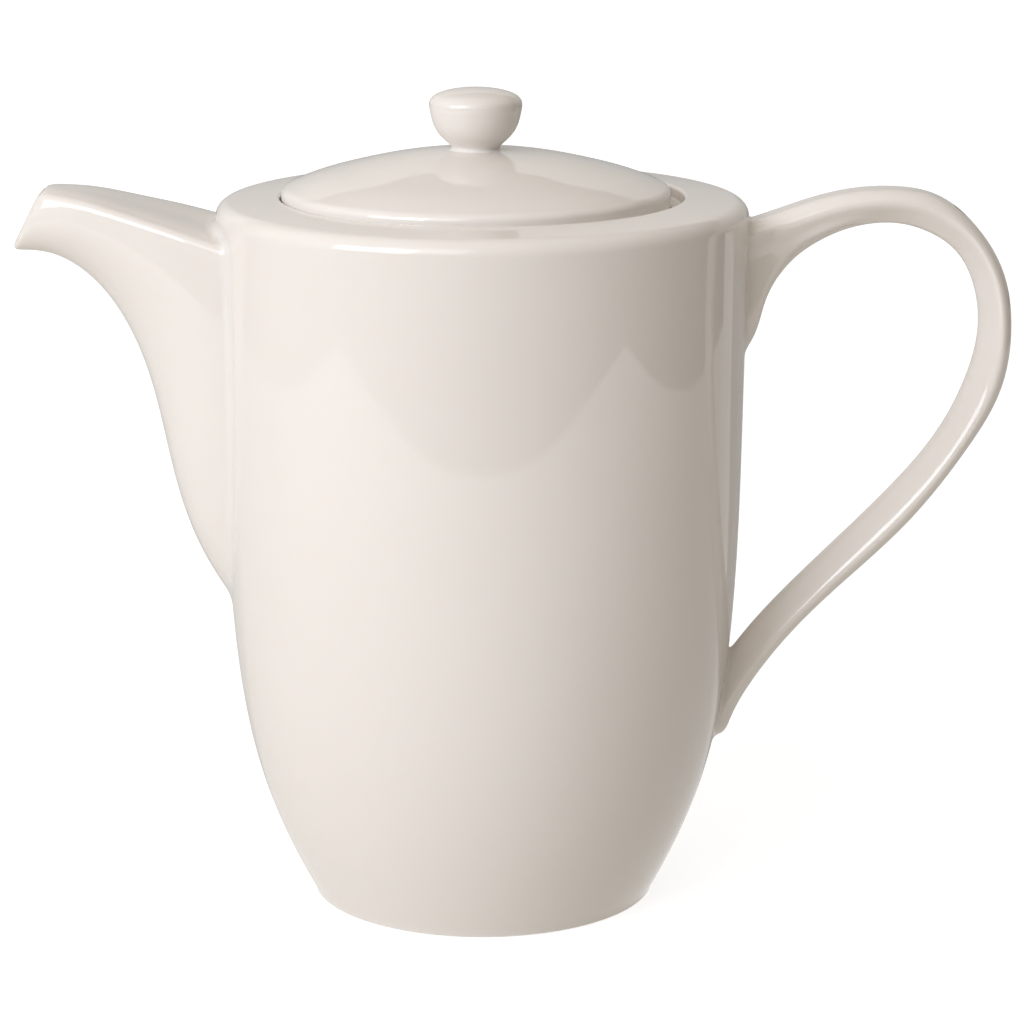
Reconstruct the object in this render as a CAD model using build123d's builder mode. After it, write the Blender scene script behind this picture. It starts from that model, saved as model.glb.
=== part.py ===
"""Porcelain coffee pot with a lift-off lid.

Millimetres, +Z up. The origin is on the body's axis at the table. The spout points along -X and the
handle along +X. The pot is one fired piece and the lid is the other; each node is one of the clay
parts that they are made of.
"""

from build123d import *
import os

os.makedirs("parts", exist_ok=True)

# Pot body
wall = 4.0
rim_radius = 61.0
rim_rounding = 3.65
rim_height = 164.65
waist_radius = 60.35
waist_height = 121.0
belly_radius = 58.6
belly_height = 68.0
hip_radius = 52.5
hip_height = 30.0
base_radius = 40.3
base_height = 1.2
base_slope = (0.55, 1)
rim_slope = (0.01, 1)
floor_top = 8.0
floor_radius = 32.5
floor_slope = (1, 0.35)

# Foot ring
foot_inner_radius = 35.0
foot_outer_radius = 39.3
foot_recess = 3.0
foot_rounding = 0.8

# Seat for the lid
shoulder_inner_height = 165.5
seat_radius = 46.2
seat_height = 162.6
seat_thickness = 4.0
throat_radius = 40.0
notch_width = 14.0
notch_radius = 42.8

# Lid, which lies a little towards the spout in its seat
lid_shift = -1.45
lid_radius = 44.5
lid_gap = 0.25
lid_thickness = 4.0
lid_edge_height = 167.8
lid_edge_rounding = 1.4
dome_top = 176.1
dome_shoulder_radius = 24.0
dome_shoulder_height = 173.5
dome_top_slope = (1, -0.1)
dome_edge_slope = (1, -0.39)
under_edge_height = 165.8
under_slope = (-1, 0.3)
flange_inner_radius = 34.3
flange_outer_radius = 37.9
flange_bottom = 151.0
flange_rounding = 1.2
lug_radius = 43.4
lug_width = 10.0
lug_bottom = 151.4
lug_height = 6.0
lug_corner = 1.2

# Knob
knob_top = 190.0
crown_radius = 8.0
crown_drop = 1.1
knob_radius = 10.6
knob_widest_height = 186.4
bowl_radius = 9.6
bowl_height = 181.6
neck_radius = 5.6
neck_height = 176.6
neck_foot_radius = 8.2
neck_foot_height = 175.7
crown_slope = (1, -0.4)
neck_slope = (-0.15, -1)
neck_foot_slope = (1, -0.12)

# Spout
spout_wall = 3.2
lip_wall = 3.0
spout_crown = 0.4
spout_shoulder_width = 2.3
spout_shoulder_drop = 2.6
spout_flank_share = 0.955
spout_flank_depth = 0.28
shoulder_lean = 0.06
face_edge_drop = 0.15

# Handle, whose strap is widest near its outer face and slopes to a narrower inner face
handle_thickness = 7.8
handle_width = 12.7
strap_face_width = 7.6
strap_widest = 1.5
strap_side_width = 9.2
strap_side_depth = 1.1
strap_inner_width = 5.0
strap_inner_depth = 3.2
web_width = 7.6
web_inside = 56.0
web_overlap = (2.0, 4.0)
upper_root_slope = (1, 0.28)
lower_root_slope = (-0.45, -1)
web_foot_slope = (0.6, 1)
web_end_slope = (1, 0.3)


def axis_profile(points):
    """Closed chain of straight lines through (radius, height) points."""
    Polyline(*points, close=True)


# ---------------------------------------------------------------- foot ring
with BuildPart() as foot_ring:
    with BuildSketch(Plane.XZ):
        with BuildLine():
            axis_profile([
                (foot_inner_radius, 0),
                (foot_outer_radius, 0),
                (foot_outer_radius, foot_recess),
                (foot_inner_radius, foot_recess),
            ])
        make_face()
    revolve(axis=Axis.Z)
    fillet(foot_ring.edges().group_by(Axis.Z)[0], foot_rounding)

# ---------------------------------------------------------------- outer shape of the body
outer_points = [
    (base_radius, base_height),
    (hip_radius, hip_height),
    (belly_radius, belly_height),
    (waist_radius, waist_height),
    (rim_radius, rim_height - rim_rounding),
]

with BuildPart() as body_envelope:
    with BuildSketch(Plane.XZ):
        with BuildLine():
            flank = Spline(*outer_points, tangents=[base_slope, rim_slope])
            RadiusArc(flank @ 1, (rim_radius - rim_rounding, rim_height), -rim_rounding)
            Polyline(
                (rim_radius - rim_rounding, rim_height),
                (seat_radius, shoulder_inner_height),
                (0, shoulder_inner_height),
                (0, foot_recess),
                (foot_outer_radius, foot_recess),
                (foot_outer_radius, base_height / 2),
                flank @ 0,
            )
        make_face()
    revolve(axis=Axis.Z)

with BuildPart() as body_cavity:
    with BuildSketch(Plane.XZ):
        with BuildLine():
            inner_points = [(r - wall, z) for r, z in outer_points[1:]]
            floor_edge = (floor_radius, floor_top)
            inner_flank = Spline(floor_edge, *inner_points, tangents=[floor_slope, rim_slope])
            Polyline(
                inner_flank @ 1,
                (seat_radius + wall, rim_height - wall),
                (seat_radius + wall, seat_height - seat_thickness),
                (throat_radius, seat_height - seat_thickness),
                (throat_radius, seat_height),
                (seat_radius, seat_height),
                (seat_radius, shoulder_inner_height),
                (0, shoulder_inner_height),
                (0, floor_top),
                floor_edge,
            )
        make_face()
    revolve(axis=Axis.Z)

# ---------------------------------------------------------------- spout
# Each station is a slice across the spout: its top point and its keel point (x, z), and half its width.
spout_stations = [
    ((-100.5, 167.6), (-108.5, 152.8), 7.6),
    ((-90.5, 166.5), (-98.8, 152.1), 12.2),
    ((-80.0, 163.95), (-88.6, 145.6), 16.0),
    ((-71.0, 161.5), (-80.9, 134.2), 19.2),
    ((-61.0, 158.45), (-75.4, 118.0), 21.8),
    ((-51.0, 155.35), (-70.2, 94.9), 23.0),
    ((-46.5, 153.95), (-64.9, 81.2), 22.4),
    ((-43.0, 152.75), (-57.0, 68.4), 20.6),
]


def slice_plane(top, keel, inset):
    """Plane across the spout, with its local y from the keel to the top, and its height."""
    upper = Vector(top[0], 0, top[1])
    lower = Vector(keel[0], 0, keel[1])
    up = (upper - lower).normalized()
    origin = (upper + lower) * 0.5
    height = (upper - lower).length - 2 * inset
    return Plane(origin=origin, x_dir=(0, 1, 0), z_dir=Vector(0, 1, 0).cross(up)), height


def slice_outline(height, half_width):
    """An almost flat top, tight shoulders, and full sides that close in a round keel."""
    top = height / 2
    shoulder = (half_width, top - spout_shoulder_drop)
    face_edge = (half_width - spout_shoulder_width, top - spout_crown)
    flank = (spout_flank_share * half_width, shoulder[1] - spout_flank_depth * (shoulder[1] + top))
    keel = (0, -top)
    ThreePointArc((-face_edge[0], face_edge[1]), (0, top), face_edge)
    Spline(face_edge, shoulder, tangents=[(1, -face_edge_drop), (-shoulder_lean, -1)])
    Spline(shoulder, flank, keel, tangents=[(-shoulder_lean, -1), (-1, 0)])
    Spline(keel, (-flank[0], flank[1]), (-shoulder[0], shoulder[1]), tangents=[(-1, 0), (-shoulder_lean, 1)])
    Spline(
        (-shoulder[0], shoulder[1]),
        (-face_edge[0], face_edge[1]),
        tangents=[(-shoulder_lean, 1), (1, face_edge_drop)],
    )


def spout_slices(insets):
    """Faces at all the stations, each drawn in by its inset."""
    faces = []
    for (top, keel, half_width), inset in zip(spout_stations, insets):
        plane, height = slice_plane(top, keel, inset)
        with BuildSketch(plane) as one_slice:
            with BuildLine():
                slice_outline(height, half_width - inset)
            make_face()
        faces.append(one_slice.sketch.face())
    return faces


with BuildPart() as spout_bore:
    loft(sections=spout_slices([lip_wall] + [spout_wall] * (len(spout_stations) - 1)))

with BuildPart() as spout:
    loft(sections=spout_slices([0] * len(spout_stations)))
    add(spout_bore.part, mode=Mode.SUBTRACT)
    add(body_envelope.part, mode=Mode.SUBTRACT)

# ---------------------------------------------------------------- pot body
with BuildPart() as pot_body:
    add(body_envelope.part)
    add(body_cavity.part, mode=Mode.SUBTRACT)
    add(spout_bore.part, mode=Mode.SUBTRACT)
    with BuildSketch(Plane.XY.offset(seat_height)):
        with Locations((notch_radius / 2, 0)):
            Rectangle(notch_radius, notch_width)
    extrude(amount=-2 * seat_thickness, mode=Mode.SUBTRACT)

# ---------------------------------------------------------------- handle
# Centre line of the loop, from its upper root round to its lower root.
handle_line_points = [
    (56.0, 154.8),
    (74.4, 160.0),
    (93.0, 163.0),
    (110.2, 154.7),
    (117.9, 136.0),
    (111.8, 112.6),
    (96.0, 92.2),
    (67.8, 63.2),
    (54.0, 41.3),
]
# Inner edge of the web that joins the handle's upper root to the body.
web_edge_points = [
    (59.4, 127.4),
    (62.9, 133.4),
    (67.2, 145.4),
    (82.0, 157.2),
]


def strap_outline(width, thickness):
    """Flat outer face, widest just inside it, then sides that slope to a round inner edge."""
    outer = thickness / 2
    face_edge = (strap_face_width / 2, outer)
    widest = (width / 2, strap_widest)
    side = (strap_side_width / 2, -strap_side_depth)
    inner_edge = (strap_inner_width / 2, -strap_inner_depth)
    Line((-face_edge[0], outer), face_edge)
    Spline(face_edge, widest, tangents=[(1, 0), (0, -1)])
    Spline(widest, side, inner_edge, (0, -outer), tangents=[(0, -1), (-1, 0)])
    Spline(
        (0, -outer),
        (-inner_edge[0], inner_edge[1]),
        (-side[0], side[1]),
        (-widest[0], widest[1]),
        tangents=[(-1, 0), (0, 1)],
    )
    Spline((-widest[0], widest[1]), (-face_edge[0], outer), tangents=[(0, 1), (1, 0)])


with BuildPart() as handle:
    with BuildLine(Plane.XZ) as handle_line:
        Spline(*handle_line_points, tangents=[upper_root_slope, lower_root_slope])
    start = Plane(origin=handle_line.line @ 0, x_dir=(0, 1, 0), z_dir=handle_line.line % 0)
    with BuildSketch(start):
        with BuildLine():
            strap_outline(handle_width, handle_thickness)
        make_face()
    sweep(path=handle_line.line)
    with BuildSketch(Plane.XZ) as web:
        with BuildLine():
            web_edge = Spline(*web_edge_points, tangents=[web_foot_slope, web_end_slope])
            Polyline(
                web_edge @ 1,
                (web_edge_points[-1][0] - web_overlap[0], web_edge_points[-1][1] + web_overlap[1]),
                (web_inside, web_edge_points[-1][1]),
                (web_inside, web_edge_points[0][1]),
                web_edge @ 0,
            )
        make_face()
    extrude(amount=web_width / 2, both=True)
    add(body_envelope.part, mode=Mode.SUBTRACT)

# ---------------------------------------------------------------- lid
lid_plane = Plane.XZ.move(Location((lid_shift, 0, 0)))
lid_axis = Axis((lid_shift, 0, 0), (0, 0, 1))
lid_bottom = seat_height + lid_gap
under_shoulder_height = dome_shoulder_height - lid_thickness
knob_bottom = dome_top - lid_thickness

with BuildPart() as lid_knob:
    with BuildSketch(lid_plane):
        with BuildLine():
            crown_edge = (crown_radius, knob_top - crown_drop)
            crown = Spline((0, knob_top), crown_edge, tangents=[(1, 0), crown_slope])
            bowl = Spline(
                crown @ 1,
                (knob_radius, knob_widest_height),
                (bowl_radius, bowl_height),
                (neck_radius, neck_height),
                tangents=[crown_slope, neck_slope],
            )
            neck_foot = (neck_foot_radius, neck_foot_height)
            foot = Spline(bowl @ 1, neck_foot, tangents=[neck_slope, neck_foot_slope])
            Polyline(foot @ 1, (neck_foot_radius, knob_bottom), (0, knob_bottom), crown @ 0)
        make_face()
    revolve(axis=lid_axis)

with BuildPart() as lid_cover:
    with BuildSketch(lid_plane):
        with BuildLine():
            dome = Spline(
                (0, dome_top),
                (dome_shoulder_radius, dome_shoulder_height),
                (lid_radius - lid_edge_rounding, lid_edge_height),
                tangents=[dome_top_slope, dome_edge_slope],
            )
            edge_end = (lid_radius, lid_edge_height - lid_edge_rounding)
            edge = Spline(dome @ 1, edge_end, tangents=[dome_edge_slope, (0, -1)])
            under = Spline(
                (flange_inner_radius, under_edge_height),
                (dome_shoulder_radius, under_shoulder_height),
                (0, knob_bottom),
                tangents=[under_slope, (-dome_top_slope[0], -dome_top_slope[1])],
            )
            Polyline(edge @ 1, (lid_radius, lid_bottom), (flange_inner_radius, lid_bottom), under @ 0)
            Line(under @ 1, dome @ 0)
        make_face()
    revolve(axis=lid_axis)
    add(lid_knob.part, mode=Mode.SUBTRACT)

with BuildPart() as lid_flange:
    with BuildSketch(lid_plane):
        with BuildLine():
            axis_profile([
                (flange_inner_radius, flange_bottom),
                (flange_outer_radius, flange_bottom),
                (flange_outer_radius, lid_bottom),
                (flange_inner_radius, lid_bottom),
            ])
        make_face()
    revolve(axis=lid_axis)
    fillet(lid_flange.edges().group_by(Axis.Z)[0], flange_rounding)

with BuildPart() as lid_lug:
    with BuildSketch(Plane.XY.offset(lug_bottom)):
        with Locations((lid_shift + lug_radius / 2, 0)):
            RectangleRounded(lug_radius, lug_width, lug_corner)
    extrude(amount=lug_height)
    with BuildSketch(Plane.XY.offset(flange_bottom)):
        with Locations((lid_shift, 0)):
            Circle(flange_outer_radius)
    extrude(amount=2 * lug_height, mode=Mode.SUBTRACT)

# ---------------------------------------------------------------- files
nodes = {
    "pot_body": pot_body,
    "foot_ring": foot_ring,
    "spout": spout,
    "handle": handle,
    "lid_cover": lid_cover,
    "lid_flange": lid_flange,
    "lid_lug": lid_lug,
    "lid_knob": lid_knob,
}
for node_name, node in nodes.items():
    node.part.label = node_name
    export_step(node.part, f"parts/{node_name}.step")
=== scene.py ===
import math

import bmesh
import bpy
import numpy as np
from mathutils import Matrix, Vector


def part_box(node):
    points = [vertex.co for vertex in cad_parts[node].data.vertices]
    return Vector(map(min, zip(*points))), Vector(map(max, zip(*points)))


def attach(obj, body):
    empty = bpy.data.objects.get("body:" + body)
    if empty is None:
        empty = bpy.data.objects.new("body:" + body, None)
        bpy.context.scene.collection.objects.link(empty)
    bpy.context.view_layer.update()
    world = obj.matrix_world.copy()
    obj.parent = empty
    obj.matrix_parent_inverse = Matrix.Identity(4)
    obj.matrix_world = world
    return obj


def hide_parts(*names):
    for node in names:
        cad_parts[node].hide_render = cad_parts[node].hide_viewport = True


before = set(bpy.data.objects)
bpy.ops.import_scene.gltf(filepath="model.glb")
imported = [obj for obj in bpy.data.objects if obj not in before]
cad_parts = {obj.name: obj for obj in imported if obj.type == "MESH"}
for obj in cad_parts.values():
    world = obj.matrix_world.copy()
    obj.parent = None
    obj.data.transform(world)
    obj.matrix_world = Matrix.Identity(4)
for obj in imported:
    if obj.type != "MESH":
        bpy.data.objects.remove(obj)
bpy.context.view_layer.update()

MM = 0.001

# ---------------------------------------------------------------- sizes, in millimetres
# The driving sizes come from the CAD nodes in model.glb. Outlines are drawn in millimetres, and a mesh is
# scaled to metres when it is made. SAME_POINT is in millimetres and CUT_WELD in metres.


def node_box(node):
    """Lowest and highest corner of a CAD node, in millimetres."""
    low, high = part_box(node)
    return [v / MM for v in low], [v / MM for v in high]


body_high = node_box("pot_body")[1]
ring_high = node_box("foot_ring")[1]
knob_high = node_box("lid_knob")[1]
lid_low, lid_high = node_box("lid_cover")
flange_low, flange_high = node_box("lid_flange")
lug_low, lug_high = node_box("lid_lug")

WALL = 4.0
BASE, HIP, BELLY, WAIST = (40.3, 1.2), (52.5, 30), (58.6, 68), (60.35, 121)
RIM_RADIUS = min(body_high[0], body_high[1])
RIM_ROUNDING = 3.65
SHOULDER_HEIGHT = body_high[2]
SHOULDER_RISE = 0.85
RIM_HEIGHT = SHOULDER_HEIGHT - SHOULDER_RISE
LID_BOTTOM = lid_low[2]
LID_GAP = 0.25
SEAT_RADIUS = 46.2
SEAT_HEIGHT = LID_BOTTOM - LID_GAP
SEAT_THICKNESS = 4.0
THROAT_RADIUS = 40.0
NOTCH_RADIUS = 42.8
NOTCH_HALF_WIDTH = 7.0
FLOOR_TOP = 8.0
FLOOR_RADIUS = 38.5
FOOT_OUTER = ring_high[0]
FOOT_WIDTH = 4.3
FOOT_INNER = FOOT_OUTER - FOOT_WIDTH
FOOT_HEIGHT = ring_high[2]
LID_CENTRE = (lid_low[0] + lid_high[0]) / 2
LID_RADIUS = (lid_high[0] - lid_low[0]) / 2
FLANGE_INNER = 34.3
FLANGE_OUTER = (flange_high[0] - flange_low[0]) / 2
FLANGE_BOTTOM = flange_low[2]
KNOB_TOP = knob_high[2]
SAME_POINT = 1e-4
CUT_WELD = 5e-5


# ---------------------------------------------------------------- drawing outlines
def smooth_line(points, first=None, last=None, steps=12):
    """Points along the cubic spline through the given ones, with optional directions at its ends."""
    p = np.array(points, dtype=float)
    n = len(p)
    t = np.concatenate([[0], np.cumsum(np.linalg.norm(np.diff(p, axis=0), axis=1))])
    h = np.diff(t)
    a = np.zeros((n, n))
    b = np.zeros_like(p)
    for i in range(1, n - 1):
        a[i, i - 1 : i + 2] = [h[i], 2 * (h[i - 1] + h[i]), h[i - 1]]
        b[i] = 3 * (h[i] * (p[i] - p[i - 1]) / h[i - 1] + h[i - 1] * (p[i + 1] - p[i]) / h[i])
    for row, near, end in ((0, 1, first), (n - 1, n - 2, last)):
        a[row, row] = 1
        if end is None:
            a[row, row], a[row, near] = 2, 1
            span = h[0] if row == 0 else h[-1]
            b[row] = 3 * (p[max(row, near)] - p[min(row, near)]) / span
        else:
            b[row] = np.array(end, dtype=float) / np.linalg.norm(end)
    m = np.linalg.solve(a, b)
    out = [p[0]]
    for i in range(n - 1):
        for k in range(1, steps + 1):
            u = k / steps
            out.append(
                (2 * u**3 - 3 * u**2 + 1) * p[i]
                + (u**3 - 2 * u**2 + u) * h[i] * m[i]
                + (3 * u**2 - 2 * u**3) * p[i + 1]
                + (u**3 - u**2) * h[i] * m[i + 1]
            )
    return np.array(out)


def arc(centre, radius, start, end, steps=8):
    """Points of a circular arc, angles in degrees from the outline's first axis."""
    angles = np.radians(np.linspace(start, end, steps + 1))
    return np.stack([centre[0] + radius * np.cos(angles), centre[1] + radius * np.sin(angles)], axis=1)


def straight(a, b, steps=4):
    """Evenly spaced points from a to b."""
    return np.linspace(a, b, steps + 1)


def outline(*parts):
    """Joins runs of points, dropping a point that repeats the one before it, or at the end the first."""
    points = [parts[0][0]]
    for part in parts:
        for point in part:
            if np.linalg.norm(np.subtract(point, points[-1])) > SAME_POINT:
                points.append(point)
    if np.linalg.norm(np.subtract(points[0], points[-1])) < SAME_POINT:
        points.pop()
    return np.array(points)


# ---------------------------------------------------------------- making meshes
def make_object(name, vertices, faces, material):
    """Mesh object from millimetre vertices, smooth, with its normals facing out."""
    mesh = bpy.data.meshes.new(name)
    mesh.from_pydata([tuple(np.array(v) * MM) for v in vertices], [], faces)
    bm = bmesh.new()
    bm.from_mesh(mesh)
    bmesh.ops.recalc_face_normals(bm, faces=bm.faces)
    bm.to_mesh(mesh)
    bm.free()
    mesh.shade_smooth()
    mesh.materials.append(material)
    piece = bpy.data.objects.new(name, mesh)
    bpy.context.collection.objects.link(piece)
    return piece


def lathe(name, profile, material, centre_x=0.0, segments=192):
    """Solid of revolution from a (radius, height) outline. A point on the axis becomes a pole."""
    vertices, rings, faces = [], [], []
    for radius, height in profile:
        if radius < SAME_POINT:
            rings.append([len(vertices)])
            vertices.append((centre_x, 0, height))
            continue
        rings.append(list(range(len(vertices), len(vertices) + segments)))
        for k in range(segments):
            turn = 2 * math.pi * k / segments
            vertices.append((centre_x + radius * math.cos(turn), radius * math.sin(turn), height))
    pairs = list(zip(rings, rings[1:]))
    if len(rings[0]) > 1 and len(rings[-1]) > 1:
        pairs.append((rings[-1], rings[0]))
    for lower, upper in pairs:
        for k in range(segments):
            n = (k + 1) % segments
            if len(lower) == 1:
                faces.append((lower[0], upper[n], upper[k]))
            elif len(upper) == 1:
                faces.append((lower[k], lower[n], upper[0]))
            else:
                faces.append((lower[k], lower[n], upper[n], upper[k]))
    return make_object(name, vertices, faces, material)


def skin(name, rings, material, caps=True, closed=False):
    """Quads between rings of equal count, with a fan over each end, or joined end to end."""
    count = len(rings[0])
    vertices = [v for ring in rings for v in ring]
    faces = []
    last = len(rings) if closed else len(rings) - 1
    for i in range(last):
        a, b = i * count, ((i + 1) % len(rings)) * count
        for k in range(count):
            n = (k + 1) % count
            faces.append((a + k, a + n, b + n, b + k))
    if caps and not closed:
        for start in (0, (len(rings) - 1) * count):
            centre = len(vertices)
            vertices.append(np.mean(vertices[start : start + count], axis=0))
            for k in range(count):
                faces.append((start + k, start + (k + 1) % count, centre))
    return make_object(name, vertices, faces, material)


def cut(piece, cutter):
    """Takes the cutter's volume out of the piece and deletes the cutter."""
    boolean = piece.modifiers.new("cut", "BOOLEAN")
    boolean.operation = "DIFFERENCE"
    boolean.solver = "EXACT"
    boolean.object = cutter
    graph = bpy.context.evaluated_depsgraph_get()
    mesh = bpy.data.meshes.new_from_object(piece.evaluated_get(graph))
    piece.modifiers.clear()
    bm = bmesh.new()
    bm.from_mesh(mesh)
    bmesh.ops.remove_doubles(bm, verts=bm.verts, dist=CUT_WELD)
    bmesh.ops.dissolve_degenerate(bm, edges=bm.edges, dist=CUT_WELD)
    bm.to_mesh(mesh)
    bm.free()
    piece.data = mesh
    mesh.shade_smooth()
    bpy.data.objects.remove(cutter)


def finish_piece(piece, body, node):
    """Evens a finished piece's normals, joins it to its CAD body and hides the CAD node it stands for."""
    weighted = piece.modifiers.new("even_normals", "WEIGHTED_NORMAL")
    weighted.keep_sharp = True
    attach(piece, body)
    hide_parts(node)


# ---------------------------------------------------------------- materials
TONE_STOPS = (0.3, 0.7)
GLAZE_TONES = ((0.800, 0.757, 0.722), (0.818, 0.777, 0.744))
GLAZE_ROUGHNESS = (0.02, 0.05)
GLAZE_IOR = 1.52
BARE_TONES = ((0.700, 0.668, 0.622), (0.780, 0.752, 0.712))
BARE_ROUGHNESS = (0.52, 0.72)
BARE_IOR = 1.5
PAPER_TONES = ((0.49, 0.50, 0.52), (0.53, 0.54, 0.56))


def node_tree(name):
    """New material with its tree and its Principled shader."""
    material = bpy.data.materials.new(name)
    material.use_nodes = True
    tree = material.node_tree
    return material, tree, tree.nodes["Principled BSDF"]


def noise(tree, scale, detail, roughness=0.5):
    """3-D noise in object coordinates, in cycles per metre."""
    place = tree.nodes.new("ShaderNodeTexCoord")
    texture = tree.nodes.new("ShaderNodeTexNoise")
    texture.inputs["Scale"].default_value = scale
    texture.inputs["Detail"].default_value = detail
    texture.inputs["Roughness"].default_value = roughness
    tree.links.new(place.outputs["Object"], texture.inputs["Vector"])
    return texture


def ramp(tree, source, tones):
    """Colour ramp from a darker to a lighter tone over a noise's factor."""
    node = tree.nodes.new("ShaderNodeValToRGB")
    tree.links.new(source, node.inputs["Fac"])
    for element, position, tone in zip(node.color_ramp.elements, TONE_STOPS, tones):
        element.position = position
        element.color = (*tone, 1)
    return node.outputs["Color"]


def bump(tree, source, strength, distance, below=None):
    """Bump from a height, over another bump if one is given."""
    node = tree.nodes.new("ShaderNodeBump")
    node.inputs["Strength"].default_value = strength
    node.inputs["Distance"].default_value = distance
    tree.links.new(source, node.inputs["Height"])
    if below is not None:
        tree.links.new(below, node.inputs["Normal"])
    return node.outputs["Normal"]


def remap(tree, source, low, high):
    """A factor stretched from 0..1 to low..high."""
    node = tree.nodes.new("ShaderNodeMapRange")
    node.inputs["To Min"].default_value = low
    node.inputs["To Max"].default_value = high
    tree.links.new(source, node.inputs["Value"])
    return node.outputs["Result"]


def glazed_porcelain():
    """Warm white porcelain under a clear gloss glaze that pools very slightly."""
    material, tree, shader = node_tree("glazed_porcelain")
    cloud = noise(tree, 14, 3)
    tree.links.new(ramp(tree, cloud.outputs["Fac"], GLAZE_TONES), shader.inputs["Base Color"])
    orange_peel = noise(tree, 420, 2)
    tree.links.new(remap(tree, orange_peel.outputs["Fac"], *GLAZE_ROUGHNESS), shader.inputs["Roughness"])
    ripple = noise(tree, 38, 1)
    low = bump(tree, ripple.outputs["Fac"], 0.10, 0.0004)
    tree.links.new(bump(tree, orange_peel.outputs["Fac"], 0.04, 0.00004, low), shader.inputs["Normal"])
    shader.inputs["IOR"].default_value = GLAZE_IOR
    shader.inputs["Subsurface Weight"].default_value = 0.12
    shader.inputs["Subsurface Radius"].default_value = (1.0, 0.8, 0.6)
    shader.inputs["Subsurface Scale"].default_value = 0.003
    return material


def bare_porcelain():
    """Unglazed, polished porcelain with a fine dry grain."""
    material, tree, shader = node_tree("unglazed_porcelain")
    grain = noise(tree, 2600, 4, 0.7)
    tree.links.new(ramp(tree, grain.outputs["Fac"], BARE_TONES), shader.inputs["Base Color"])
    tree.links.new(remap(tree, grain.outputs["Fac"], *BARE_ROUGHNESS), shader.inputs["Roughness"])
    tree.links.new(bump(tree, grain.outputs["Fac"], 0.25, 0.00008), shader.inputs["Normal"])
    shader.inputs["IOR"].default_value = BARE_IOR
    return material


glaze = glazed_porcelain()
bare = bare_porcelain()

# ---------------------------------------------------------------- pot body
RIM_SLOPE = (0.01, 1)
SOFT_EDGE = 0.8
SEAT_HOLLOW = 0.6
BASE_EDGE = 0.5
BASE_EDGE_HEIGHT = 0.9
BASE_EDGE_START = 0.7
SHOULDER_MIDDLE = (52.0, 165.15)
LEDGE_OVERHANG = 1
VAULT_HEIGHT = 160.0
VAULT_SETBACK = 2

flank_points = [HIP, BELLY, WAIST, (RIM_RADIUS, RIM_HEIGHT - RIM_ROUNDING)]
inner_points = [(radius - WALL, height) for radius, height in flank_points]
flank = smooth_line([BASE, *flank_points], first=(0.55, 1), last=RIM_SLOPE, steps=18)
floor_edge = (FLOOR_RADIUS, FLOOR_TOP)
inner_flank = smooth_line([floor_edge, *inner_points], first=(1, 0.35), last=RIM_SLOPE, steps=12)


def body_radius(height):
    """Outer radius of the pot at a height, rim rounding included."""
    rounding_start = RIM_HEIGHT - RIM_ROUNDING
    if height <= rounding_start:
        return float(np.interp(height, flank[:, 1], flank[:, 0]))
    over = min(height - rounding_start, RIM_ROUNDING)
    return RIM_RADIUS - RIM_ROUNDING + math.sqrt(RIM_ROUNDING**2 - over**2)


def pot_body_profile():
    """Outline of the wall from the middle of the underside, round the rim, to the middle of the floor."""
    ledge_under = SEAT_HEIGHT - SEAT_THICKNESS
    base = outline(
        straight((0, FOOT_HEIGHT), (FOOT_OUTER, FOOT_HEIGHT), 8),
        straight((FOOT_OUTER, FOOT_HEIGHT), (FOOT_OUTER, BASE_EDGE_START), 2),
        arc((FOOT_OUTER + BASE_EDGE, BASE_EDGE_HEIGHT), BASE_EDGE, 200, 330, 6),
    )
    rim = arc((RIM_RADIUS - RIM_ROUNDING, RIM_HEIGHT - RIM_ROUNDING), RIM_ROUNDING, 0, 84, 12)
    shoulder = smooth_line(
        [rim[-1], SHOULDER_MIDDLE, (SEAT_RADIUS + SOFT_EDGE, SHOULDER_HEIGHT)],
        first=(-1, 0.1),
        last=(-1, 0.05),
        steps=8,
    )
    lip = arc((SEAT_RADIUS + SOFT_EDGE, SHOULDER_HEIGHT - SOFT_EDGE), SOFT_EDGE, 90, 180, 6)
    throat = THROAT_RADIUS + SOFT_EDGE
    ledge_end = (SEAT_RADIUS + LEDGE_OVERHANG, ledge_under)
    seat = outline(
        straight(lip[-1], (SEAT_RADIUS, SEAT_HEIGHT + SEAT_HOLLOW), 2),
        arc((SEAT_RADIUS - SEAT_HOLLOW, SEAT_HEIGHT + SEAT_HOLLOW), SEAT_HOLLOW, 0, -90, 4),
        straight((SEAT_RADIUS - SEAT_HOLLOW, SEAT_HEIGHT), (throat, SEAT_HEIGHT), 3),
        arc((throat, SEAT_HEIGHT - SOFT_EDGE), SOFT_EDGE, 90, 180, 4),
        arc((throat, ledge_under + SOFT_EDGE), SOFT_EDGE, 180, 270, 4),
        straight((throat, ledge_under), ledge_end, 3),
    )
    vault_points = [
        ledge_end,
        (SEAT_RADIUS + WALL, VAULT_HEIGHT),
        (RIM_RADIUS - WALL - VAULT_SETBACK, VAULT_HEIGHT),
        inner_flank[-1],
    ]
    vault = smooth_line(vault_points, first=(1, 0), last=(0.05, -1), steps=5)
    floor = straight(inner_flank[0], (0, FLOOR_TOP), 10)
    return outline(base, flank, rim, shoulder, lip, seat, vault, inner_flank[::-1], floor)


pot_body = lathe("pot_body_shell", pot_body_profile(), glaze)

# ---------------------------------------------------------------- lofted limbs: spout and handle
# A limb is a row of slices. Each slice has an upper and a lower point (x, z) in the plane of symmetry and
# its half widths.


def slice_points(station, shape):
    """World points of one slice, from its station and its outline function."""
    upper = np.array([station[0], 0, station[1]])
    lower = np.array([station[2], 0, station[3]])
    height = np.linalg.norm(upper - lower)
    up = (upper - lower) / height
    middle = (upper + lower) / 2
    flat = shape(height, *station[4:])
    return np.array([middle + np.array([0, y, 0]) + up * h for y, h in flat])


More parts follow.
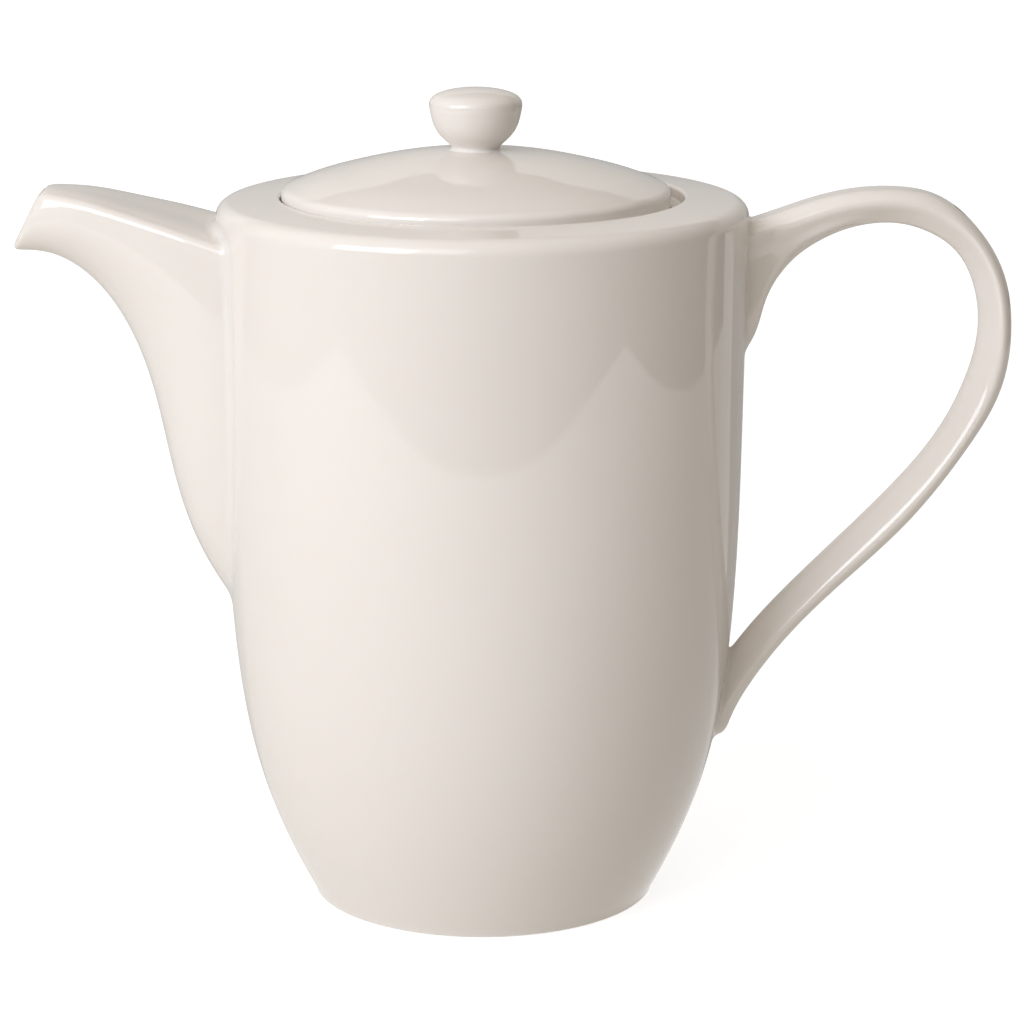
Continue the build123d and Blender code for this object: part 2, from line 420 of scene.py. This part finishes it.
def bezier(a, b, c, d, steps):
    """Points of a cubic from a to d, without a itself."""
    u = np.linspace(0, 1, steps + 1)[1:, None]
    a, b, c, d = (np.array(p, dtype=float) for p in (a, b, c, d))
    return (1 - u) ** 3 * a + 3 * (1 - u) ** 2 * u * b + 3 * (1 - u) * u**2 * c + u**3 * d


def mirrored(half):
    """Closed outline from its right half, which runs from the top middle to the bottom middle."""
    left = half[1:-1][::-1] * np.array([-1, 1])
    return np.concatenate([half, left])


SPOUT_CROWN = 0.4
SHOULDER_WIDTH = 2.3
SHOULDER_DROP = 2.6
FULL_SHARE = 0.955
FULL_DEPTH = 0.28
INTO_EDGE = np.array([1, -0.15])
INTO_SIDE = np.array([-0.06, -1])
CROWN_REACH = (0.4, 0.3)
EDGE_REACH = (1.5, 1.4)


def spout_outline(height, half_width, inset=0.0):
    """Almost flat top, tight shoulders, and full sides that close in a round keel."""
    width = half_width - inset
    top = height / 2 - inset
    shoulder = np.array([width, top - SHOULDER_DROP])
    edge = np.array([shoulder[0] - SHOULDER_WIDTH, top - SPOUT_CROWN])
    side = (FULL_SHARE * width, shoulder[1] - FULL_DEPTH * (shoulder[1] + top))
    crown_pull = (CROWN_REACH[0] * edge[0], top)
    half = np.concatenate([
        [(0, top)],
        bezier((0, top), crown_pull, edge - INTO_EDGE * CROWN_REACH[1] * edge[0], edge, 8),
        bezier(edge, edge + INTO_EDGE * EDGE_REACH[0], shoulder - INTO_SIDE * EDGE_REACH[1], shoulder, 10),
        smooth_line([shoulder, side, (0, -top)], first=INTO_SIDE, last=(-1, 0), steps=12)[1:],
    ])
    return mirrored(half)


# The strap's right half as shares of its half width and half height. The rib's is a share of the same half
# width with a depth below the outer face in millimetres, then a web under it.
STRAP_SHAPE = np.array([
    (0, 1),
    (0.36, 1),
    (0.62, 0.965),
    (0.85, 0.76),
    (0.97, 0.54),
    (1, 0.38),
    (0.965, 0.20),
    (0.74, -0.22),
    (0.50, -0.62),
    (0.27, -0.90),
    (0.13, -0.975),
    (0, -1),
])
RIB_SHAPE = [(0, 0), (0.36, 0), (0.62, 0.15), (0.85, 1.0), (0.97, 1.9), (1, 2.6), (0.965, 3.3)]
RIB_FOOT_SHARE = 0.4
RIB_FOOT_DEPTH = 5.2
WEB_TOP_DEPTH = 9.0
WEB_EDGE = ((1, 0.95), (0.68, 0.24))
STRAP_HALF = 4.15
WEB_BLEND = 6.0


def handle_outline(height, width, web):
    """Strap with a flat outer face and sides that slope to its inner edge, or the same over a thin web."""
    half = height / 2
    strap = STRAP_SHAPE * (width, half)
    rib = np.array([
        *((share * width, half - depth) for share, depth in RIB_SHAPE),
        ((1 - RIB_FOOT_SHARE) * web + RIB_FOOT_SHARE * width, half - RIB_FOOT_DEPTH),
        (web, half - WEB_TOP_DEPTH),
        *((across * web, along * web - half) for across, along in WEB_EDGE),
        (0, -half),
    ])
    share = min(max((half - STRAP_HALF) / WEB_BLEND, 0), 1)
    return mirrored(smooth_line((1 - share) * strap + share * rib, first=(1, 0), last=(-1, 0), steps=5))


NORMAL_STEP = 0.2
ROOT_EASE = 1.35
ROOT_RUN_OUT = 0.25
ROOT_TUCK = 0.6


def inside_body(point, shrink=0.0):
    """How far a point is inside the pot's outer surface, measured sideways."""
    return body_radius(point[2]) - shrink - math.hypot(point[0], point[1])


def on_body(point, sink=0.0):
    """The point moved sideways onto the pot's outer surface."""
    across = math.hypot(point[0], point[1])
    scale = (body_radius(point[2]) - sink) / across
    return np.array([point[0] * scale, point[1] * scale, point[2]])


def body_normal(point):
    """Outward direction of the pot's surface at a point on it."""
    slope = (body_radius(point[2] + NORMAL_STEP) - body_radius(point[2] - NORMAL_STEP)) / (2 * NORMAL_STEP)
    across = math.hypot(point[0], point[1])
    normal = np.array([point[0] / across, point[1] / across, -slope])
    return normal / np.linalg.norm(normal)


def root_rings(rings, reach, steps=7):
    """Ends a limb on the pot: rings outside it, then a hollow fillet that runs out onto the surface.

    reach(k) is the fillet's size along line k of the limb.
    """
    count = len(rings[0])
    lines = np.array(rings)
    hits = []
    for k in range(count):
        depth = [inside_body(p) for p in lines[:, k]]
        i = next(i for i, d in enumerate(depth) if d > 0)
        share = -depth[i - 1] / (depth[i] - depth[i - 1])
        hits.append((i - 1 + share, on_body(lines[i - 1, k] + share * (lines[i, k] - lines[i - 1, k]))))
    crossing = np.array([h for _, h in hits])
    result = []
    steps_along = np.linalg.norm(np.diff(lines, axis=0), axis=2)
    lengths = [np.concatenate([[0], np.cumsum(steps_along[:, k])]) for k in range(count)]
    stops = []
    for k in range(count):
        at = np.interp(hits[k][0], range(len(rings)), lengths[k])
        stops.append(at - reach(k))
    samples = len(rings) * 2
    for j in range(samples + 1):
        ring = []
        for k in range(count):
            where = stops[k] * (1 - (1 - j / samples) ** ROOT_EASE)
            ring.append([np.interp(where, lengths[k], lines[:, k, axis]) for axis in range(3)])
        result.append(np.array(ring))
    fillet = [[] for _ in range(steps + 2)]
    middle = crossing.mean(axis=0)
    for k in range(count):
        start = result[-1][k]
        corner = crossing[k]
        around = crossing[(k + 1) % count] - crossing[k - 1]
        normal = body_normal(corner)
        outward = np.cross(normal, around)
        outward /= np.linalg.norm(outward)
        if np.dot(outward, corner - middle) < 0:
            outward = -outward
        end = on_body(corner + outward * reach(k))
        for s in range(1, steps + 1):
            u = s / steps
            fillet[s - 1].append((1 - u) ** 2 * start + 2 * (1 - u) * u * corner + u * u * end)
        fillet[steps].append(on_body(end + outward * ROOT_RUN_OUT, ROOT_RUN_OUT))
        fillet[steps + 1].append(on_body(corner, ROOT_TUCK))
    return result + [np.array(f) for f in fillet]


# ---------------------------------------------------------------- spout
SPOUT_WALL = 3.2
LIP_WALL = 3.0
LIP_SETBACK = 0.75
LIP_TUCK = (0.9, 0.28, 0.05)
LIP_START = math.radians(50)
LIP_BLEND = 10
SPOUT_FILLET = 2.6
BORE_END_DEPTH = 0.35
BORE_RINGS = 40
BORE_CUT_START = 18
# Each row is a slice's top point (x, z), its keel point (x, z) and its half width.
SPOUT_STATIONS = [
    (-100.5, 167.6, -108.5, 152.8, 7.6),
    (-90.5, 166.5, -98.8, 152.1, 12.2),
    (-80.0, 163.95, -88.6, 145.6, 16.0),
    (-71.0, 161.5, -80.9, 134.2, 19.2),
    (-61.0, 158.45, -75.4, 118.0, 21.8),
    (-51.0, 155.35, -70.2, 94.9, 23.0),
    (-46.5, 153.95, -64.9, 81.2, 22.4),
    (-43.0, 152.75, -57.0, 68.4, 20.6),
]


def spout_slices(line, insets):
    """Rings along the spout, each drawn in by its inset."""
    return [slice_points(s, lambda h, w: spout_outline(h, w, inset)) for s, inset in zip(line, insets)]


def make_spout():
    """Hollow spout with a rounded lip, closed behind its root inside the pot's wall, and its bore's rings."""
    line = smooth_line(SPOUT_STATIONS, steps=10)
    line[0] += (line[1] - line[0]) * LIP_SETBACK
    tuck = LIP_TUCK + (0.0,) * (len(line) - len(LIP_TUCK))
    walls = [LIP_WALL + (SPOUT_WALL - LIP_WALL) * min(1, i / LIP_BLEND) for i in range(len(line))]
    outer = spout_slices(line, tuck)
    inner = spout_slices(line, walls)
    count = len(outer[0])
    outer_part = root_rings(outer, lambda k: SPOUT_FILLET)
    wall_end = []
    inner_lines = np.array(inner)
    for k in range(count):
        depth = [inside_body(p, BORE_END_DEPTH) for p in inner_lines[:, k]]
        i = next(i for i, d in enumerate(depth) if d > 0)
        wall_end.append(i - 1 - depth[i - 1] / (depth[i] - depth[i - 1]))
    inner_part = []
    for j in range(BORE_RINGS + 1):
        ring = []
        for k in range(count):
            where = wall_end[k] * (j / BORE_RINGS)
            ring.append([np.interp(where, range(len(inner)), inner_lines[:, k, axis]) for axis in range(3)])
        inner_part.append(np.array(ring))
    forward = outer[0].mean(axis=0) - outer[1].mean(axis=0)
    mouth = np.cross(outer[0][count // 4] - outer[0][0], outer[0][count // 2] - outer[0][0])
    mouth /= np.linalg.norm(mouth)
    if np.dot(mouth, forward) < 0:
        mouth = -mouth
    radius = (outer_part[0] - inner_part[0]) / (1 + math.cos(LIP_START))
    size = np.linalg.norm(radius, axis=1)[:, None]
    centre = outer_part[0] - radius * math.cos(LIP_START) - mouth * size * math.sin(LIP_START)
    lip = [
        centre + radius * math.cos(turn) + mouth * size * math.sin(turn)
        for turn in np.linspace(LIP_START, math.pi, 10)[1:]
    ]
    rings = inner_part[:0:-1] + lip[::-1] + outer_part
    return skin("pouring_spout", rings, glaze, closed=True), inner


spout, bore_rings = make_spout()
cut(pot_body, skin("bore", bore_rings[BORE_CUT_START:], glaze))


def plate_ring(near, far, half_width, corner, height):
    """Rectangle at a height, with its two far corners rounded."""
    right = arc((far - corner, half_width - corner), corner, 0, 90, 5)
    left = arc((far - corner, corner - half_width), corner, 270, 350, 4)
    flat = [(far, corner - half_width), *right, (near, half_width), (near, -half_width), *left]
    return np.array([(x, y, height) for x, y in flat])


NOTCH_START = 30.0
NOTCH_CORNER = 2.0
NOTCH_BOTTOM = SEAT_HEIGHT - 2 * SEAT_THICKNESS
NOTCH_TOP = SEAT_HEIGHT + 1.5
notch_rings = [
    plate_ring(NOTCH_START, NOTCH_RADIUS, NOTCH_HALF_WIDTH, NOTCH_CORNER, height)
    for height in (NOTCH_BOTTOM, NOTCH_TOP)
]
cut(pot_body, skin("notch", notch_rings, glaze))

# ---------------------------------------------------------------- handle
UPPER_FILLET = 1.8
LOWER_FILLET = 2.4
LOWER_FILLET_SWING = 0.9
# Each row is a slice's outer point (x, z), its inner point (x, z), and the half widths of strap and web.
HANDLE_STATIONS = [
    (50.0, 156.6, 53.0, 119.0, 6.6, 3.8),
    (58.5, 158.7, 59.4, 127.4, 6.5, 3.8),
    (62.0, 159.9, 62.9, 133.4, 6.4, 3.8),
    (66.5, 161.4, 65.2, 141.2, 6.35, 3.9),
    (72.4, 163.5, 70.0, 149.2, 6.3, 4.4),
    (79.6, 165.6, 76.2, 154.3, 6.3, 5.4),
    (86.4, 166.8, 84.0, 157.8, 6.3, 6.0),
    (93.9, 167.1, 93.0, 159.1, 6.3, 6.3),
    (103.2, 165.6, 100.4, 157.7, 6.3, 6.3),
    (112.1, 159.5, 106.9, 154.2, 6.3, 6.3),
    (118.7, 149.8, 111.6, 148.2, 6.3, 6.3),
    (121.6, 136.4, 114.3, 137.0, 6.3, 6.3),
    (119.8, 121.1, 112.2, 124.4, 6.3, 6.3),
    (112.8, 107.5, 106.6, 112.0, 6.3, 6.3),
    (99.1, 89.3, 93.6, 95.6, 6.3, 6.3),
    (84.3, 74.8, 78.8, 80.6, 6.3, 6.3),
    (71.2, 61.3, 65.6, 66.8, 6.3, 6.3),
    (64.0, 51.8, 58.9, 58.4, 6.3, 6.3),
    (58.3, 41.3, 51.8, 49.0, 6.3, 6.3),
    (56.7, 38.3, 49.0, 46.0, 6.3, 6.3),
    (53.4, 37.0, 46.0, 43.6, 6.3, 6.3),
    (44.0, 35.0, 37.0, 40.0, 6.3, 6.3),
]


def make_handle():
    """Loop handle from its upper root to its lower root, each running out onto the pot."""
    line = smooth_line(HANDLE_STATIONS, steps=6)
    rings = [slice_points(s, handle_outline) for s in line]
    middle = len(rings) // 2
    upper = root_rings(rings[middle::-1], lambda k: UPPER_FILLET)
    around = 2 * math.pi / len(rings[0])
    lower = root_rings(rings[middle:], lambda k: LOWER_FILLET - LOWER_FILLET_SWING * math.cos(k * around))
    return skin("loop_handle", upper[::-1] + lower[1:], glaze)


handle = make_handle()

# ---------------------------------------------------------------- foot ring
FOOT_ROUNDING = 0.8
FOOT_START = 0.9
foot = lathe(
    "unglazed_foot",
    outline(
        arc((FOOT_INNER + FOOT_ROUNDING, FOOT_ROUNDING), FOOT_ROUNDING, 180, 270, 5),
        straight((FOOT_INNER + FOOT_ROUNDING, 0), (FOOT_OUTER - FOOT_ROUNDING, 0), 4),
        arc((FOOT_OUTER - FOOT_ROUNDING, FOOT_ROUNDING), FOOT_ROUNDING, 270, 360, 5),
        straight((FOOT_OUTER, FOOT_ROUNDING), (FOOT_OUTER, FOOT_HEIGHT), 3),
        straight((FOOT_OUTER, FOOT_HEIGHT), (FOOT_INNER, FOOT_HEIGHT), 4),
        straight((FOOT_INNER, FOOT_HEIGHT), (FOOT_INNER, FOOT_START), 3),
    ),
    bare,
)

# ---------------------------------------------------------------- lid
LID_EDGE = (LID_RADIUS - 1.4, 167.8)
LID_EDGE_MIDDLE = (LID_RADIUS - 0.3, 166.95)
LID_EDGE_END = (LID_RADIUS, 165.8)
LID_EDGE_SLOPE = (1, -0.42)
LID_ROUNDING = 0.6
DOME = [(0, 176.1), (8, 175.8), (16, 174.95), (24, 173.5), (31, 171.8), (37, 170.1), LID_EDGE]
UNDER_DOME = [(FLANGE_INNER, LID_BOTTOM), (FLANGE_INNER - 2, 164.6), (24, 169.3), (0, 172.1)]

CROWN_EDGE = (9.6, 188.1)
CROWN_SLOPE = (1, -0.8)
WIDEST = (10.6, 186.4)
NECK = (5.6, 176.5)
NECK_SLOPE = (-0.15, -1)
NECK_FOOT = (8.2, 175.72)
KNOB_BOTTOM = 175.2
CROWN = [(0, KNOB_TOP), (5.1, 189.6), (8.0, 188.9), CROWN_EDGE]
KNOB_EDGE = [CROWN_EDGE, (10.2, 187.5), (10.46, 187.05), WIDEST]
BOWL = [WIDEST, (10.59, 186.1), (10.4, 184.6), (9.6, 181.6), (7.95, 179.0), (6.15, 177.3), NECK]
KNOB_SEGMENTS = 96

FLANGE_ROUNDING = 1.2
FLANGE_OVERLAP = 0.1
LUG_LAYERS = ((0, 1.0), (0.08, 0.35), (0.2, 0), (0.8, 0), (0.92, 0.35), (1, 1.0))
LUG_ROOT = 1.0
LUG_CORNER = 1.6


def lid_profile():
    """Domed disc with a soft edge, hollow underneath inside the flange."""
    dome = smooth_line(DOME, first=(1, 0), last=LID_EDGE_SLOPE, steps=7)
    edge = smooth_line([dome[-1], LID_EDGE_MIDDLE, LID_EDGE_END], first=LID_EDGE_SLOPE, last=(0, -1), steps=7)
    return outline(
        dome,
        edge,
        straight(LID_EDGE_END, (LID_RADIUS, LID_BOTTOM + LID_ROUNDING), 3),
        arc((LID_RADIUS - LID_ROUNDING, LID_BOTTOM + LID_ROUNDING), LID_ROUNDING, 0, -90, 4),
        straight((LID_RADIUS - LID_ROUNDING, LID_BOTTOM), (FLANGE_INNER, LID_BOTTOM), 4),
        smooth_line(UNDER_DOME, last=(-1, 0), steps=8),
    )


def knob_profile():
    """Flat-crowned knob with a bowl under it, on a short neck that runs out onto the dome."""
    sunk = (NECK_FOOT[0], KNOB_BOTTOM)
    return outline(
        smooth_line(CROWN, first=(1, 0), last=CROWN_SLOPE, steps=7),
        smooth_line(KNOB_EDGE, first=CROWN_SLOPE, last=(0.2, -1), steps=6),
        smooth_line(BOWL, first=(-0.2, -1), last=NECK_SLOPE, steps=6),
        smooth_line([NECK, (6.15, 175.95), NECK_FOOT], first=NECK_SLOPE, last=(1, -0.12), steps=7),
        straight(NECK_FOOT, sunk, 1),
        straight(sunk, (0, KNOB_BOTTOM), 2),
    )


def flange_profile():
    """Plain ring with a rounded lower edge, let into the lid by a hair."""
    low = FLANGE_BOTTOM + FLANGE_ROUNDING
    high = LID_BOTTOM + FLANGE_OVERLAP
    return outline(
        arc((FLANGE_INNER + FLANGE_ROUNDING, low), FLANGE_ROUNDING, 180, 270, 6),
        arc((FLANGE_OUTER - FLANGE_ROUNDING, low), FLANGE_ROUNDING, 270, 360, 6),
        straight((FLANGE_OUTER, low), (FLANGE_OUTER, high), 4),
        straight((FLANGE_OUTER, high), (FLANGE_INNER, high), 3),
        straight((FLANGE_INNER, high), (FLANGE_INNER, low), 4),
    )


lid = lathe("lid_dome", lid_profile(), glaze, LID_CENTRE)
knob = lathe("lid_knob_turned", knob_profile(), glaze, LID_CENTRE, KNOB_SEGMENTS)
flange = lathe("lid_flange_ring", flange_profile(), bare, LID_CENTRE)


def make_lug():
    """Small pressed lug with soft corners."""
    half_width = (lug_high[1] - lug_low[1]) / 2
    rows = []
    for share, shrink in LUG_LAYERS:
        height = lug_low[2] + share * (lug_high[2] - lug_low[2])
        far = lug_high[0] - shrink
        rows.append(plate_ring(lug_low[0] - LUG_ROOT, far, half_width - shrink, LUG_CORNER, height))
    return skin("lid_locking_lug", rows, bare)


lug = make_lug()

for piece, body, node, material_slot in (
    (pot_body, "pot", "pot_body", "glazed_porcelain"),
    (spout, "pot", "spout", "glazed_porcelain"),
    (handle, "pot", "handle", "glazed_porcelain"),
    (foot, "pot", "foot_ring", "unglazed_porcelain"),
    (lid, "lid", "lid_cover", "glazed_porcelain"),
    (knob, "lid", "lid_knob", "glazed_porcelain"),
    (flange, "lid", "lid_flange", "unglazed_porcelain"),
    (lug, "lid", "lid_lug", "unglazed_porcelain"),
):
    finish_piece(piece, body, node)

# ---------------------------------------------------------------- stage: floor and reflected sheets
TABLE_CORNERS = [(-6, -6, 0), (6, -6, 0), (6, 9, 0), (-6, 9, 0)]
TABLE_GLOW = 0.70
SHEET_TINT = (1, 0.975, 0.94, 1)
SHEET_FADE = (-0.25, 0.08)
FRONT_GLOW = (1.4, 0.75)
SHEET_FRONT = 0.49
SHEET_BACK = 0.50
SHEET_HALF_WIDTH = 0.60
SHEET_ROUNDNESS = 0.80
REAR_REACH = 1.4
REAR_HEIGHT = 0.001
# Name, first and last azimuth in degrees, and glow.
REAR_SHEETS = [
    ("right_strip", 124.6, 135, 0.80),
    ("rear_right", 135, 180, 0.42),
    ("rear_left", 180, 229.5, 0.62),
]


def combine(tree, operation, a, b=0.0, c=0.0):
    """Math node over sockets or plain numbers."""
    node = tree.nodes.new("ShaderNodeMath")
    node.operation = operation
    for socket, value in zip(node.inputs, (a, b, c)):
        if isinstance(value, (int, float)):
            socket.default_value = value
        else:
            tree.links.new(value, socket)
    return node.outputs[0]


def stage_mesh(name, corners, material):
    """Flat stage piece from its corners, in metres."""
    mesh = bpy.data.meshes.new(name)
    mesh.from_pydata(corners, [], [tuple(range(len(corners)))])
    mesh.materials.append(material)
    piece = bpy.data.objects.new(name, mesh)
    bpy.context.collection.objects.link(piece)
    piece.visible_diffuse = False
    piece.visible_shadow = False
    return piece


def make_table():
    """Plain pale floor with a faint paper grain."""
    material, tree, shader = node_tree("pale_table")
    fibre = noise(tree, 300, 3)
    tree.links.new(ramp(tree, fibre.outputs["Fac"], PAPER_TONES), shader.inputs["Base Color"])
    shader.inputs["Emission Color"].default_value = (1, 1, 1, 1)
    shader.inputs["Roughness"].default_value = 0.7
    shader.inputs["Emission Strength"].default_value = TABLE_GLOW
    stage_mesh("table", TABLE_CORNERS, material).visible_glossy = False


def reflected_sheet(name, corners, glow, rear_glow):
    """Glowing sheet lying by the pot, seen only as a reflection in its glaze.

    The glow goes from the first value in front of the pot to the second one behind it.
    """
    material, tree, shader = node_tree(name)
    shader.inputs["Base Color"].default_value = (0, 0, 0, 1)
    shader.inputs["Roughness"].default_value = 1
    shader.inputs["Specular IOR Level"].default_value = 0
    shader.inputs["Emission Color"].default_value = SHEET_TINT
    place = tree.nodes.new("ShaderNodeTexCoord")
    split = tree.nodes.new("ShaderNodeSeparateXYZ")
    tree.links.new(place.outputs["Object"], split.inputs[0])
    fade = tree.nodes.new("ShaderNodeMapRange")
    tree.links.new(split.outputs[1], fade.inputs["Value"])
    for socket, value in zip(fade.inputs[1:5], (*SHEET_FADE, glow, rear_glow)):
        socket.default_value = value
    tree.links.new(fade.outputs["Result"], shader.inputs["Emission Strength"])
    stage_mesh(name, corners, material).visible_camera = False


def front_sheet():
    """Sheet under and in front of the pot, with straight sides and a round front edge."""
    corners = [(-SHEET_HALF_WIDTH, SHEET_BACK, 0)]
    for x in np.linspace(-SHEET_HALF_WIDTH, SHEET_HALF_WIDTH, 33):
        corners.append((x, -SHEET_FRONT * math.sqrt(1 - (x / SHEET_ROUNDNESS) ** 2), 0))
    corners.append((SHEET_HALF_WIDTH, SHEET_BACK, 0))
    reflected_sheet("front_sheet", corners, *FRONT_GLOW)


def rear_sheet(name, start, end, glow):
    """Sector behind the pot between two azimuths."""
    corners = [(0, 0, REAR_HEIGHT)]
    for turn in np.radians(np.linspace(start, end, 17)):
        corners.append((REAR_REACH * math.sin(turn), -REAR_REACH * math.cos(turn), REAR_HEIGHT))
    reflected_sheet(name, corners, glow, glow)


make_table()
front_sheet()
for sheet in REAR_SHEETS:
    rear_sheet(*sheet)

# ---------------------------------------------------------------- light
AIM = Vector((0, 0, 0.11))
BACKDROP_SIZE = (6.4, 1.6)
BACKDROP_PLACE = (1.0, 2.45, 0.8)
BACKDROP_RADIANCE = 0.45
WORLD_TINT = (1, 0.93, 0.83, 1)
WORLD_LEVEL = 0.02
# The world's light grows towards these directions: axis of the direction, its sign, and the strength.
WORLD_SLOPES = [(2, 1.0, 0.65), (2, -1.0, 0.80), (0, -1.0, 0.32), (1, -1.0, 0.17)]


def panel(name, size, radiance, place, rotation, colour=(1, 1, 1)):
    """Rectangular area light of a given radiance."""
    light = bpy.data.lights.new(name, "AREA")
    light.shape = "RECTANGLE"
    light.size, light.size_y = size
    light.energy = radiance * math.pi * size[0] * size[1]
    light.color = colour
    holder = bpy.data.objects.new(name, light)
    holder.location = place
    holder.rotation_euler = rotation
    bpy.context.collection.objects.link(holder)


def softbox(name, azimuth, elevation, distance, size, radiance, colour):
    """Panel that faces the pot from an azimuth (0 is -Y, negative is -X) and an elevation."""
    turn, rise = math.radians(azimuth), math.radians(elevation)
    way = Vector((math.sin(turn) * math.cos(rise), -math.cos(turn) * math.cos(rise), math.sin(rise)))
    rotation = (-way).to_track_quat("-Z", "Y").to_euler()
    panel(name, size, radiance, AIM + way * distance, rotation, colour)


def studio_world(level, slopes):
    """Surroundings of an even level, plus light that grows towards the given directions."""
    world = bpy.data.worlds.new("studio")
    bpy.context.scene.world = world
    world.use_nodes = True
    tree = world.node_tree
    place = tree.nodes.new("ShaderNodeTexCoord")
    split = tree.nodes.new("ShaderNodeSeparateXYZ")
    tree.links.new(place.outputs["Generated"], split.inputs[0])
    total = combine(tree, "ADD", level, 0.0)
    for axis, sign, strength in slopes:
        facing = combine(tree, "MAXIMUM", combine(tree, "MULTIPLY", split.outputs[axis], sign), 0.0)
        total = combine(tree, "MULTIPLY_ADD", facing, strength, total)
    background = tree.nodes["Background"]
    background.inputs["Color"].default_value = WORLD_TINT
    tree.links.new(total, background.inputs["Strength"])


softbox("key", -47, 22, 1.30, (0.80, 0.60), 4.85, (0.935, 0.99, 1.075))
softbox("front_fill", -27, 30, 1.8, (1.2, 1.0), 2.2, (0.98, 1.0, 1.02))
panel("backdrop", BACKDROP_SIZE, BACKDROP_RADIANCE, BACKDROP_PLACE, (math.radians(-90), 0, 0))
studio_world(WORLD_LEVEL, WORLD_SLOPES)
bpy.context.scene.view_settings.view_transform = "Standard"

# ---------------------------------------------------------------- camera
CAMERA_PLACE = (0.0068, -0.800, 0.2845)
CAMERA_DIP = 13.61
camera_data = bpy.data.cameras.new("camera")
camera_data.lens = 123.8
camera_data.sensor_width = 36
camera = bpy.data.objects.new("camera", camera_data)
camera.location = CAMERA_PLACE
camera.rotation_euler = (math.radians(90 - CAMERA_DIP), 0, 0)
bpy.context.collection.objects.link(camera)
bpy.context.scene.camera = camera
